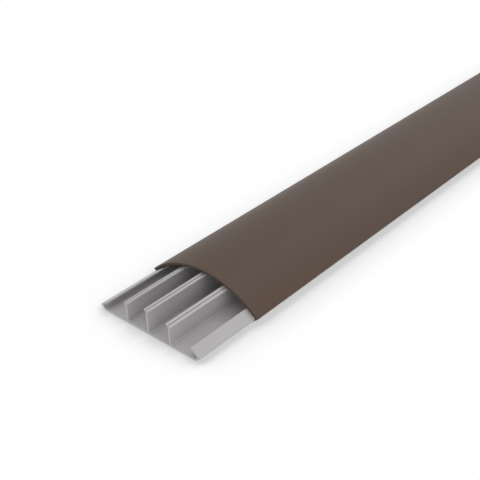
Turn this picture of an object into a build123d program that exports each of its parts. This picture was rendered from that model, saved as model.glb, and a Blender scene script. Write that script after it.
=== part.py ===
from build123d import *
import os
from math import asin, cos, degrees, radians, sin, sqrt

# Cord cover raceway: a half-round floor trunking in two extruded strips. The flat base carries three
# dividers, and the arched cover snaps over its folded edges. X runs across, Y along the strips and Z up.
# The origin is the middle of the base's underside. Sections are drawn with their own x across and y up.

# Driving dimensions, in millimetres and degrees

strip_length = 1000.0  # both strips are cut to the same length
cover_setback = 40.3  # how far the cover is drawn back from the base's near end

cover_width = 75.0  # over the two rounded edges
cover_height = 18.0  # floor to crown
cover_wall = 1.4
edge_radius = 0.4  # rounding of the cover's edges
edge_height = 3.3  # middle of that rounding above the floor
lip_slope = 37.0  # the lip runs inward and down from the edge at this angle
lip_length = 3.5
lip_thickness = 0.4
lip_end_radius = 0.15

snap_clearance = 0.3  # between the base's folded edge and the cover's wall
lip_clearance = 0.2  # between the same edge and the lip that grips it

base_wall = 1.2  # plate
leg_wall = 2.6  # across, from the nose to the leg's upright inner side
flange_wall = 0.9
flange_slope = 34.0  # the flange runs inward and up from the nose at this angle
flange_length = 7.4
flange_tip_radius = 0.3
nose_radius = 0.4  # outside of the fold that the lip grips
fold_radius = 0.4  # inside of the same fold
root_radius = 0.5  # hollow corners on the plate's upper side

divider_spacing = 15.2
divider_wall = 1.2
cap_width = 3.6  # head of a divider
cap_thickness = 0.9
cap_radius = 0.2
cap_clearance = 1.5  # between a head and the inside of the cover
groove_width = 0.6  # groove along the middle of each head
groove_depth = 0.55

# The cover's arch: one circle that touches the crown and runs into the rounding of both edges

edge_centre = Vector(cover_width / 2 - edge_radius, edge_height)
edge_drop = cover_height - edge_height
arch_radius = (edge_centre.X**2 + edge_drop**2 - edge_radius**2) / (2 * (edge_drop - edge_radius))
arch_centre = Vector(0, cover_height - arch_radius)
inner_radius = arch_radius - cover_wall

lip_way = Vector(-cos(radians(lip_slope)), -sin(radians(lip_slope)))
lip_normal = Vector(-sin(radians(lip_slope)), cos(radians(lip_slope)))
lip_start = edge_centre - lip_normal * edge_radius


def arch_angle(radius, x):
    """Angle from the crown to a point of a circle round the arch's centre, a distance x from the middle."""
    return degrees(asin(x / radius))


def arch_point(radius, x):
    """Point of a circle round the arch's centre, a distance x from the middle."""
    return Vector(x, arch_centre.Y + sqrt(radius**2 - x**2))


def lip_meets_arch(gap, radius):
    """First point where a line along the lip, a gap above its underside, crosses such a circle."""
    start = lip_start + lip_normal * gap
    away = start - arch_centre
    along = away.dot(lip_way)
    return start - lip_way * (along + sqrt(along**2 - away.length**2 + radius**2))


def corners(section, *points):
    """The section's corners at the given points and at their mirror images."""
    places = [Vector(side * point.X, point.Y) for point in points for side in (-1, 1)]
    return [section.vertices().sort_by_distance(place)[0] for place in places]


def near_end(setback):
    """Plane across the strips, a setback behind the base's near end."""
    return Plane(origin=(0, setback - strip_length / 2, 0), x_dir=(1, 0, 0), z_dir=(0, -1, 0))


# Snap cover: arched wall with a lip turned inward along each edge

lip_end = lip_start + lip_way * lip_length
lip_end_inner = lip_end + lip_normal * lip_thickness
lip_pocket = lip_meets_arch(lip_thickness, inner_radius)
edge_angle = arch_angle(arch_radius - edge_radius, edge_centre.X)
edge_turn = 180 - edge_angle - lip_slope
pocket_angle = arch_angle(inner_radius, lip_pocket.X)

with BuildPart() as snap_cover:
    with BuildSketch(near_end(cover_setback)) as cover_section:
        with BuildLine():
            CenterArc(arch_centre, arch_radius, 90 - edge_angle, edge_angle)
            CenterArc(edge_centre, edge_radius, lip_slope - 90, edge_turn)
            Polyline(lip_start, lip_end, lip_end_inner, lip_pocket)
            CenterArc(arch_centre, inner_radius, 90 - pocket_angle, pocket_angle)
            Line((0, cover_height - cover_wall), (0, cover_height))
        make_face()
        mirror(about=Plane.YZ)
        fillet(corners(cover_section, lip_end, lip_end_inner), radius=lip_end_radius)
    extrude(amount=-strip_length)

snap_cover.part.label = "snap_cover"

# Base channel: a flat plate whose edges fold up into a leg and a thinner flange. The leg stands a clearance
# away from the cover's lip and is upright inside. The nose between leg and flange clears the cover's wall.

nose = lip_meets_arch(lip_thickness + lip_clearance, inner_radius - snap_clearance)
foot = nose + lip_way * (nose.Y / sin(radians(lip_slope)))
heel = Vector(nose.X - leg_wall, base_wall)
flange_way = Vector(-cos(radians(flange_slope)), sin(radians(flange_slope)))
flange_tip = nose + flange_way * flange_length
flange_tip_inner = flange_tip + flange_way.rotate(Axis.Z, 90) * flange_wall
fold_pocket = flange_tip_inner + flange_way * ((heel.X - flange_tip_inner.X) / flange_way.X)
folded_edge = (foot, nose, flange_tip, flange_tip_inner, fold_pocket, heel)

head_radius = inner_radius - cap_clearance
divider_places = (-divider_spacing, 0, divider_spacing)

with BuildPart() as base_channel:
    with BuildSketch(near_end(0)) as base_section:
        with BuildLine():
            Polyline((0, base_wall), (0, 0), *folded_edge, close=True)
        make_face()
        mirror(about=Plane.YZ)
        for place in divider_places:
            web_height = arch_point(head_radius, place).Y - cap_thickness / 2
            with Locations((place, 0)):
                Rectangle(divider_wall, web_height, align=(Align.CENTER, Align.MIN))
        fillet(base_section.vertices().group_by(Axis.Y)[1], radius=root_radius)
        fillet(corners(base_section, nose), radius=nose_radius)
        fillet(corners(base_section, fold_pocket), radius=fold_radius)
        fillet(corners(base_section, flange_tip, flange_tip_inner), radius=flange_tip_radius)
        for place in divider_places:
            head = arch_point(head_radius, place)
            head_tilt = arch_angle(head_radius, place)
            with Locations(Location((head.X, head.Y, 0), (0, 0, -head_tilt))):
                RectangleRounded(cap_width, cap_thickness, cap_radius, align=(Align.CENTER, Align.MAX))
                Rectangle(groove_width, groove_depth, align=(Align.CENTER, Align.MAX), mode=Mode.SUBTRACT)
    extrude(amount=-strip_length)

base_channel.part.label = "base_channel"

os.makedirs("parts", exist_ok=True)
export_step(base_channel.part, "parts/base_channel.step")
export_step(snap_cover.part, "parts/snap_cover.step")
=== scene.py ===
from math import acos, asin, ceil, cos, degrees, pi, radians, sin, sqrt, tan

import bmesh
import bpy
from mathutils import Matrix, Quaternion, Vector


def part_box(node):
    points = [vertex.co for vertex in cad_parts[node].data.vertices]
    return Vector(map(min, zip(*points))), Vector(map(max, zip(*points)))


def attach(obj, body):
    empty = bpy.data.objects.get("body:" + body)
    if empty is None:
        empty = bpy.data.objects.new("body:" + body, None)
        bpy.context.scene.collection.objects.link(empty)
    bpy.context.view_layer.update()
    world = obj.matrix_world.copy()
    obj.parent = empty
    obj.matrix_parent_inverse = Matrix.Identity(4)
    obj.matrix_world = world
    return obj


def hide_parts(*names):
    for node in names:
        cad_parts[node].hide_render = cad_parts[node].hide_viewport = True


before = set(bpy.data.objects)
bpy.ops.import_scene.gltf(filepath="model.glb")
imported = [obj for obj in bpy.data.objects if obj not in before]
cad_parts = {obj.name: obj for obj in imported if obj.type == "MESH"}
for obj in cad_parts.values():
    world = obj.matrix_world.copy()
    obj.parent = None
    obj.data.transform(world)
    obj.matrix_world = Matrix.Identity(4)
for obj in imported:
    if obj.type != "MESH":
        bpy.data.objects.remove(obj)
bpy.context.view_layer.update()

# Cord cover raceway: a grey base channel with three dividers, and a brown arched cover that snaps
# over it. X runs across the strips, Y along them and Z up. Sections are drawn with x across and y up.

# Sizes in metres and degrees. Lengths, widths and heights come from the frame.

MM = 0.001

base_low, base_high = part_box("base_channel")
cover_low, cover_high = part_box("snap_cover")

cover_wall = 1.4 * MM
edge_radius = 0.4 * MM  # rounding of the cover's edges
edge_height = 3.3 * MM  # middle of that rounding above the floor
lip_slope = 37.0  # the lip runs inward and down from the edge at this angle
lip_length = 3.5 * MM
lip_thickness = 0.4 * MM
lip_end_radius = 0.15 * MM

snap_clearance = 0.3 * MM  # between the base's folded edge and the cover's wall
lip_clearance = 0.2 * MM  # between the same edge and the lip that grips it

base_wall = 1.2 * MM  # thickness of the plate
leg_wall = 2.6 * MM  # across, from the nose to the leg's upright inner side
flange_wall = 0.9 * MM
flange_slope = 34.0  # the flange runs inward and up from the nose at this angle
flange_length = 7.4 * MM
flange_tip_radius = 0.3 * MM
nose_radius = 0.4 * MM  # outside of the fold that the lip grips
fold_radius = 0.4 * MM  # inside of the same fold
root_radius = 0.5 * MM  # hollow corners on the plate's upper side

divider_spacing = 15.2 * MM
divider_wall = 1.2 * MM
head_width = 3.6 * MM
head_thickness = 0.9 * MM
head_edge_radius = 0.2 * MM
head_clearance = 1.5 * MM  # between a head and the inside of the cover
groove_width = 0.6 * MM  # groove along the middle of each head
groove_depth = 0.55 * MM

cut_edge = 0.08 * MM  # edge taken off the sawn ends
arch_steps = 64  # facets of the cover's arch, crown to edge
turn_step = 12.0  # largest turn between two facets of a rounding
length_steps = 20  # facets along a strip
sharp_turn = 30.0  # edges that turn by more than this stay sharp

# Marks in the plastics' finish: their sizes, and how much each changes tone, roughness and relief

die_line_width = 0.35 * MM
die_line_run = 400 * MM  # along the strip
die_line_detail = 3.0
die_line_tone = 1.1
die_line_matt = 0.16

haze_width = 45 * MM
haze_run = 160 * MM
haze_tone = 0.8
haze_matt = 0.12

grain_width = 0.16 * MM
grain_run = 0.2 * MM
grain_relief = 0.5  # height beside that of a die line

saw_mark_length = 6 * MM  # across the strip
saw_mark_width = 0.12 * MM
saw_mark_run = 1.0  # along the strip, so long that a cut shows one slice
saw_mark_tone = 1.2
saw_mark_relief = 1.5

cut_facing = 0.9  # surfaces that face along the strip by more than this are sawn
cut_matt = 0.15
middle_tone = 0.5  # halfway from the dark to the light of a plastic
relief_depth = 0.02 * MM
relief_strength = 0.6

# Floor and its shade. Openness is 1 where nothing stands near a point of the floor, and falls
# towards 0 beside and under the strips.

floor_reach = 6.0
floor_level = -0.05 * MM
floor_colour = (0.9, 0.9, 0.9, 1)

shade_samples = 16
shadow_reach = 25 * MM  # of the soft shadow on the floor
shadow_level = 0.60  # darkest brightness of that shadow
shadow_dark = 0.26  # openness where the shadow is darkest
shadow_clear = 0.97  # openness where it ends
shadow_lean = 0.17  # share of the shadow that falls away from the left
lean_azimuth = 270
lean_elevation = 45

tunnel_reach = 120 * MM  # of the darkness under the cover
tunnel_level = 0.03  # darkest brightness of the floor under the cover
tunnel_clear = 0.17  # openness where that darkness ends

white = (1, 1, 1, 1)


def heading(angle):
    """Unit vector at an angle from the section's x axis."""
    return Vector((cos(radians(angle)), sin(radians(angle))))


# The cover's arch: one circle that touches the crown and runs into the rounding of both edges

edge_centre = Vector((cover_high.x - edge_radius, edge_height))
edge_drop = cover_high.z - edge_height
arch_radius = (edge_centre.x**2 + edge_drop**2 - edge_radius**2) / (2 * (edge_drop - edge_radius))
arch_centre = Vector((0, cover_high.z - arch_radius))
inner_radius = arch_radius - cover_wall

lip_way = heading(180 + lip_slope)
lip_normal = heading(90 + lip_slope)
lip_start = edge_centre - lip_normal * edge_radius


def arch_angle(radius, x):
    """Angle from the crown to a point x from the middle, on a circle round the arch's centre."""
    return degrees(asin(x / radius))


def arch_point(radius, x):
    """Point x from the middle, on a circle round the arch's centre."""
    return Vector((x, arch_centre.y + sqrt(radius**2 - x**2)))


def lip_meets_arch(gap, radius):
    """First point where a line along the lip, a gap above its underside, crosses such a circle."""
    start = lip_start + lip_normal * gap
    away = start - arch_centre
    along = away.dot(lip_way)
    return start - lip_way * (along + sqrt(along**2 - away.length_squared + radius**2))


def at_height(start, way, height):
    """Point at a height on the line from start along way."""
    return start + way * ((height - start.y) / way.y)


def at_offset(start, way, offset):
    """Point a distance across from the middle, on the line from start along way."""
    return start + way * ((offset - start.x) / way.x)


def arc(centre, radius, start, end, steps):
    """Points of an arc from one angle to another, both ends included."""
    return [centre + heading(start + (end - start) * i / steps) * radius for i in range(steps + 1)]


def turned(vector, angle):
    """The vector turned by an angle in radians, clockwise."""
    return Vector((
        vector.x * cos(angle) + vector.y * sin(angle),
        vector.y * cos(angle) - vector.x * sin(angle),
    ))


def rounded(corners):
    """Points of a line through corners, each of which is a point and the radius that rounds it."""
    points = [corners[0][0]]
    for (before, _), (corner, radius), (after, _) in zip(corners, corners[1:], corners[2:]):
        if radius == 0:
            points.append(corner)
            continue
        to_before = (before - corner).normalized()
        to_after = (after - corner).normalized()
        half = acos(to_before.dot(to_after)) / 2
        centre = corner + (to_before + to_after).normalized() * (radius / sin(half))
        first = corner + to_before * (radius / tan(half)) - centre
        last = corner + to_after * (radius / tan(half)) - centre
        turn = first.angle_signed(last)
        steps = ceil(abs(degrees(turn)) / turn_step)
        points += [centre + turned(first, turn * i / steps) for i in range(steps + 1)]
    return points + [corners[-1][0]]


def mirrored(half):
    """Closed outline of a right half that starts and ends on the middle, and its mirror image."""
    return half + [Vector((-point.x, point.y)) for point in reversed(half[1:-1])]


def cover_outline():
    """Section of the cover: the arched wall with a lip turned inward along each edge."""
    edge_angle = arch_angle(arch_radius - edge_radius, edge_centre.x)
    lip_end = lip_start + lip_way * lip_length
    lip_end_inner = lip_end + lip_normal * lip_thickness
    lip_pocket = lip_meets_arch(lip_thickness, inner_radius)
    pocket_angle = arch_angle(inner_radius, lip_pocket.x)
    edge_steps = ceil((180 - edge_angle - lip_slope) / turn_step)
    outside = arc(arch_centre, arch_radius, 90, 90 - edge_angle, arch_steps)
    edge = arc(edge_centre, edge_radius, 90 - edge_angle, lip_slope - 90, edge_steps)
    lip = rounded([
        (lip_start, 0),
        (lip_end, lip_end_radius),
        (lip_end_inner, lip_end_radius),
        (lip_pocket, 0),
    ])
    inside = arc(arch_centre, inner_radius, 90 - pocket_angle, 90, arch_steps)
    return mirrored(outside + edge[1:] + lip[1:] + inside[1:])


def divider_corners(place):
    """Corners of a divider from its right root, over its head, to its left root."""
    head_radius = inner_radius - head_clearance
    head = arch_point(head_radius, place)
    tilt = arch_angle(head_radius, place)
    across = heading(-tilt)
    below = heading(-90 - tilt) * head_thickness
    bottom = head + below
    groove_floor = head + below.normalized() * groove_depth
    corners = []
    for side in (1, -1):
        web_face = place + side * divider_wall / 2
        end = head + across * (side * head_width / 2)
        rise = [
            (Vector((web_face, base_wall)), root_radius),
            (at_offset(bottom, across, web_face), 0),
            (end + below, head_edge_radius),
            (end, head_edge_radius),
            (head + across * (side * groove_width / 2), 0),
            (groove_floor + across * (side * groove_width / 2), 0),
        ]
        corners += rise[::side]
    return corners


def base_outline():
    """Section of the base: plate, three dividers, and at each side a leg with a leaning flange."""
    nose = lip_meets_arch(lip_thickness + lip_clearance, inner_radius - snap_clearance)
    foot = at_height(nose, lip_way, 0)
    heel = Vector((nose.x - leg_wall, base_wall))
    flange_way = heading(180 - flange_slope)
    flange_tip = nose + flange_way * flange_length
    flange_tip_inner = flange_tip + Vector((-flange_way.y, flange_way.x)) * flange_wall
    fold_pocket = at_offset(flange_tip_inner, flange_way, heel.x)
    side = [
        (Vector((0, 0)), 0),
        (foot, 0),
        (nose, nose_radius),
        (flange_tip, flange_tip_radius),
        (flange_tip_inner, flange_tip_radius),
        (fold_pocket, fold_radius),
        (heel, root_radius),
    ]
    middle = divider_corners(0)
    half_middle = middle[: len(middle) // 2]
    groove_middle = (Vector((0, half_middle[-1][0].y)), 0)
    half = side + divider_corners(divider_spacing) + half_middle + [groove_middle]
    return mirrored(rounded(half))


def inset(outline, depth):
    """A closed outline moved inward by a depth."""
    previous = outline[-1:] + outline[:-1]
    following = outline[1:] + outline[:1]
    twice_area = sum(one.x * two.y - two.x * one.y for one, two in zip(outline, following))
    inward = 1 if twice_area > 0 else -1
    moved = []
    for before, point, after in zip(previous, outline, following):
        one = (point - before).normalized()
        two = (after - point).normalized()
        normal_one = Vector((-one.y, one.x)) * inward
        normal_two = Vector((-two.y, two.x)) * inward
        moved.append(point + (normal_one + normal_two) * (depth / (1 + normal_one.dot(normal_two))))
    return moved


def strip(name, outline, near, far, material):
    """A strip of one section, sawn square at both ends, with the edges of the cuts taken off."""
    trimmed = inset(outline, cut_edge)
    full_near = near + cut_edge
    pitch = (far - near - 2 * cut_edge) / length_steps
    stations = [(near, trimmed)]
    stations += [(full_near + pitch * i, outline) for i in range(length_steps + 1)]
    stations += [(far, trimmed)]
    build = bmesh.new()
    rings = [[build.verts.new((point.x, y, point.y)) for point in ring] for y, ring in stations]
    for ring, following in zip(rings, rings[1:]):
        for i in range(len(outline)):
            build.faces.new((ring[i - 1], ring[i], following[i], following[i - 1]))
    ends = [build.faces.new(ring) for ring in (rings[0], rings[-1])]
    bmesh.ops.recalc_face_normals(build, faces=build.faces)
    bmesh.ops.triangulate(build, faces=ends)
    mesh = bpy.data.meshes.new(name)
    build.to_mesh(mesh)
    build.free()
    mesh.materials.append(material)
    mesh.shade_smooth()
    mesh.set_sharp_from_angle(angle=radians(sharp_turn))
    piece = bpy.data.objects.new(name, mesh)
    bpy.context.scene.collection.objects.link(piece)
    flat_faces = piece.modifiers.new("flat_faces_stay_flat", "WEIGHTED_NORMAL")
    flat_faces.keep_sharp = True
    return piece


class Shade:
    """A node socket for Python expressions: each operator adds the Math node that it stands for."""

    def __init__(self, tree, socket=None):
        self.tree = tree
        self.socket = socket

    def node(self, kind, settings=None, sockets=None, output=None):
        """Adds a node: its settings are set first, then the values or links of its sockets."""
        node = self.tree.nodes.new("ShaderNode" + kind)
        for setting, value in (settings or {}).items():
            setattr(node, setting, value)
        for name, value in (sockets or {}).items():
            entry = next(socket for socket in node.inputs if socket.identifier == name)
            if isinstance(value, Shade):
                self.tree.links.new(value.socket, entry)
            else:
                entry.default_value = value
        if not node.outputs:
            return None
        found = [socket for socket in node.outputs if output in (None, socket.identifier)]
        return Shade(self.tree, found[0])

    def math(self, operation, one, two):
        return self.node("Math", {"operation": operation}, {"Value": one, "Value_001": two})

    def __add__(self, other):
        return self.math("ADD", self, other)

    def __radd__(self, other):
        return self.math("ADD", other, self)

    def __sub__(self, other):
        return self.math("SUBTRACT", self, other)

    def __rsub__(self, other):
        return self.math("SUBTRACT", other, self)

    def __mul__(self, other):
        return self.math("MULTIPLY", self, other)

    def __rmul__(self, other):
        return self.math("MULTIPLY", other, self)

    def __gt__(self, other):
        return self.math("GREATER_THAN", self, other)

    def __abs__(self):
        return self.node("Math", {"operation": "ABSOLUTE"}, {"Value": self})

    def clipped(self, low, high):
        """How far this value is on the way from low to high: 0 below low and 1 above high."""
        sockets = {"Value": self, "From Min": low, "From Max": high}
        return self.node("MapRange", {}, sockets, "Result")

    def between(self, one, two):
        """A colour this share of the way from one colour to another."""
        sockets = {"Factor_Float": self, "A_Color": one, "B_Color": two}
        return self.node("Mix", {"data_type": "RGBA"}, sockets, "Result_Color")

    def shader_between(self, one, two):
        """A shader this share of the way from one shader to another."""
        return self.node("MixShader", {}, {"Fac": self, "Shader": one, "Shader_001": two})


def new_sheet(name):
    """An empty node material and the sheet that its nodes go on."""
    material = bpy.data.materials.new(name)
    material.use_nodes = True
    material.node_tree.nodes.clear()
    return material, Shade(material.node_tree)


def noise(place, across, along, up, detail=2.0):
    """Noise whose features have these sizes in metres, as a value round 0."""
    per_metre = (1 / across, 1 / along, 1 / up)
    sockets = {"Vector": place, "Vector_001": per_metre}
    spread = place.node("VectorMath", {"operation": "MULTIPLY"}, sockets)
    field = place.node("TexNoise", {}, {"Vector": spread, "Scale": 1.0, "Detail": detail}, "Fac")
    return field - 0.5


def extruded_pvc(name, dark, light, cut, roughness, gloss):
    """Extruded PVC: faint die lines along the strip, a haze, a fine grain, and saw marks on the ends."""
    material, sheet = new_sheet(name)
    place = sheet.node("TexCoord", output="Object")
    normal = sheet.node("NewGeometry", output="True Normal")
    facing = sheet.node("SeparateXYZ", {}, {"Vector": normal}, "Y")
    cut_end = abs(facing) > cut_facing
    die_lines = noise(place, die_line_width, die_line_run, die_line_width, die_line_detail)
    haze = noise(place, haze_width, haze_run, haze_width)
    grain = noise(place, grain_width, grain_run, grain_width)
    saw_marks = noise(place, saw_mark_length, saw_mark_run, saw_mark_width)

    skin = (middle_tone + haze * haze_tone + die_lines * die_line_tone).between(dark, light)
    sawn = (middle_tone + saw_marks * saw_mark_tone).between(*cut)
    colour = cut_end.between(skin, sawn)
    matt = roughness + haze * haze_matt + die_lines * die_line_matt + cut_end * cut_matt
    relief = die_lines * (1 - cut_end) + grain * grain_relief + saw_marks * cut_end * saw_mark_relief
    sockets = {"Strength": relief_strength, "Distance": relief_depth, "Height": relief}
    bump = sheet.node("Bump", {}, sockets)
    sockets = {"Base Color": colour, "Roughness": matt, "Normal": bump, "Specular IOR Level": gloss}
    surface = sheet.node("BsdfPrincipled", {}, sockets)
    sheet.node("OutputMaterial", {}, {"Surface": surface})
    return material


def grey_pvc():
    """Light grey of the base channel. Its sawn ends are a little lighter than its skin: partly the sawn
    surface's own tone, partly painted light on the ends.
    """
    dark = (0.358, 0.345, 0.347, 1)
    light = (0.445, 0.428, 0.431, 1)
    # sawn ends a little lighter than the skin: partly their own tone, partly painted light on the ends
    cut = ((0.369, 0.355, 0.357, 1), (0.458, 0.441, 0.444, 1))
    return extruded_pvc("grey_pvc", dark, light, cut, roughness=0.5, gloss=0.7)


def brown_pvc():
    """Dark brown of the cover. Its cut is a little greyer than its skin."""
    dark = (0.069, 0.042, 0.028, 1)
    light = (0.086, 0.054, 0.038, 1)
    cut = ((0.071, 0.049, 0.038, 1), (0.086, 0.059, 0.046, 1))
    return extruded_pvc("brown_pvc", dark, light, cut, roughness=0.55, gloss=0.3)


def direction(azimuth, elevation):
    """Unit vector towards a point of the sky. Azimuth 0 is before the near ends, 90 on the right."""
    a = radians(azimuth)
    e = radians(elevation)
    return Vector((sin(a) * cos(e), -cos(a) * cos(e), sin(e)))


def seen_directly(sheet):
    """1 for rays from the camera, off a gloss or through a clear piece, which see plain white."""
    camera = sheet.node("LightPath", output="Is Camera Ray")
    glossy = sheet.node("LightPath", output="Is Glossy Ray")
    through = sheet.node("LightPath", output="Is Transmission Ray")
    return camera + glossy + through


def openness(sheet, reach, towards=None):
    """How open the floor is within a reach, straight up or towards a point of the sky."""
    sockets = {"Distance": reach}
    if towards is not None:
        sockets["Normal"] = sheet.node("CombineXYZ", {}, dict(zip("XYZ", towards)))
    return sheet.node("AmbientOcclusion", {"samples": shade_samples}, sockets, "AO")


def glow(sheet, level):
    """A plain brightness that no lamp changes."""
    return sheet.node("Emission", {}, {"Color": (level, level, level, 1)})


def floor_white():
    """White with a soft shadow round the strips, wider on the right and dark under the cover."""
    material, sheet = new_sheet("white_floor")
    open_above = openness(sheet, shadow_reach)
    open_left = openness(sheet, shadow_reach, direction(lean_azimuth, lean_elevation))
    open_mean = open_above * (1 - shadow_lean) + open_left * shadow_lean
    clear = open_mean.clipped(shadow_dark, shadow_clear)
    clear_squared = clear * clear
    outside = openness(sheet, tunnel_reach).clipped(0, tunnel_clear)
    shadow = (outside * outside).shader_between(glow(sheet, tunnel_level), glow(sheet, shadow_level))
    seen = (clear_squared * clear_squared).shader_between(shadow, glow(sheet, 1))
    lit = sheet.node("BsdfDiffuse", {}, {"Color": floor_colour})
    surface = seen_directly(sheet).shader_between(lit, seen)
    sheet.node("OutputMaterial", {}, {"Surface": surface})
    return material


def white_floor():
    """A plain level floor, just below the strips."""
    mesh = bpy.data.meshes.new("floor")
    corners = [
        (-floor_reach, -floor_reach, floor_level),
        (floor_reach, -floor_reach, floor_level),
        (floor_reach, floor_reach, floor_level),
        (-floor_reach, floor_reach, floor_level),
    ]
    mesh.from_pydata(corners, [], [range(len(corners))])
    mesh.materials.append(floor_white())
    floor = bpy.data.objects.new("floor", mesh)
    bpy.context.scene.collection.objects.link(floor)
    return floor


def white_sky(level):
    """Even light from all round. Level is its brightness on the object, and it shows as white."""
    world = bpy.data.worlds.new("white_sky")
    world.use_nodes = True
    world.node_tree.nodes.clear()
    sheet = Shade(world.node_tree)
    lit = sheet.node("Background", {}, {"Color": white, "Strength": level})
    seen = sheet.node("Background", {}, {"Color": white, "Strength": 1})
    surface = seen_directly(sheet).shader_between(lit, seen)
    sheet.node("OutputWorld", {}, {"Surface": surface})
    bpy.context.scene.world = world


def soft_lamp(name, azimuth, elevation, spread, level):
    """A wide far lamp. Level is the brightness that it alone gives a white floor."""
    lamp = bpy.data.lights.new(name, "SUN")
    lamp.energy = level * pi / sin(radians(elevation))
    lamp.angle = radians(spread)
    light = bpy.data.objects.new(name, lamp)
    light.rotation_mode = "QUATERNION"
    light.rotation_quaternion = direction(azimuth, elevation).to_track_quat("Z", "Y")
    bpy.context.scene.collection.objects.link(light)


def photo_camera():
    """Camera above the base's near end, to its right, looking down along the strips."""
    camera = bpy.data.cameras.new("camera")
    camera.lens = 64.05
    camera.sensor_width = 36.0
    camera.clip_start = 0.01
    stand = Vector((0.26442, -0.71932, 0.26340))
    aim = Vector((-0.02343, -0.40387, 0))
    roll = radians(-2.13)
    eye = bpy.data.objects.new("camera", camera)
    eye.location = stand
    eye.rotation_mode = "QUATERNION"
    eye.rotation_quaternion = (aim - stand).to_track_quat("-Z", "Y") @ Quaternion((0, 0, 1), roll)
    bpy.context.scene.collection.objects.link(eye)
    bpy.context.scene.camera = eye


base = strip("base_channel_strip", base_outline(), base_low.y, base_high.y, grey_pvc())
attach(base, "base")
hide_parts("base_channel")

cover = strip("snap_cover_strip", cover_outline(), cover_low.y, cover_high.y, brown_pvc())
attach(cover, "cover")
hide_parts("snap_cover")

white_floor()
white_sky(level=0.835)
soft_lamp("right_light", azimuth=90, elevation=36, spread=50, level=0.06)
soft_lamp("back_light", azimuth=182, elevation=52, spread=16, level=0.09)
soft_lamp("front_light", azimuth=30, elevation=22, spread=40, level=0.03)
photo_camera()
bpy.context.scene.view_settings.view_transform = "Standard"
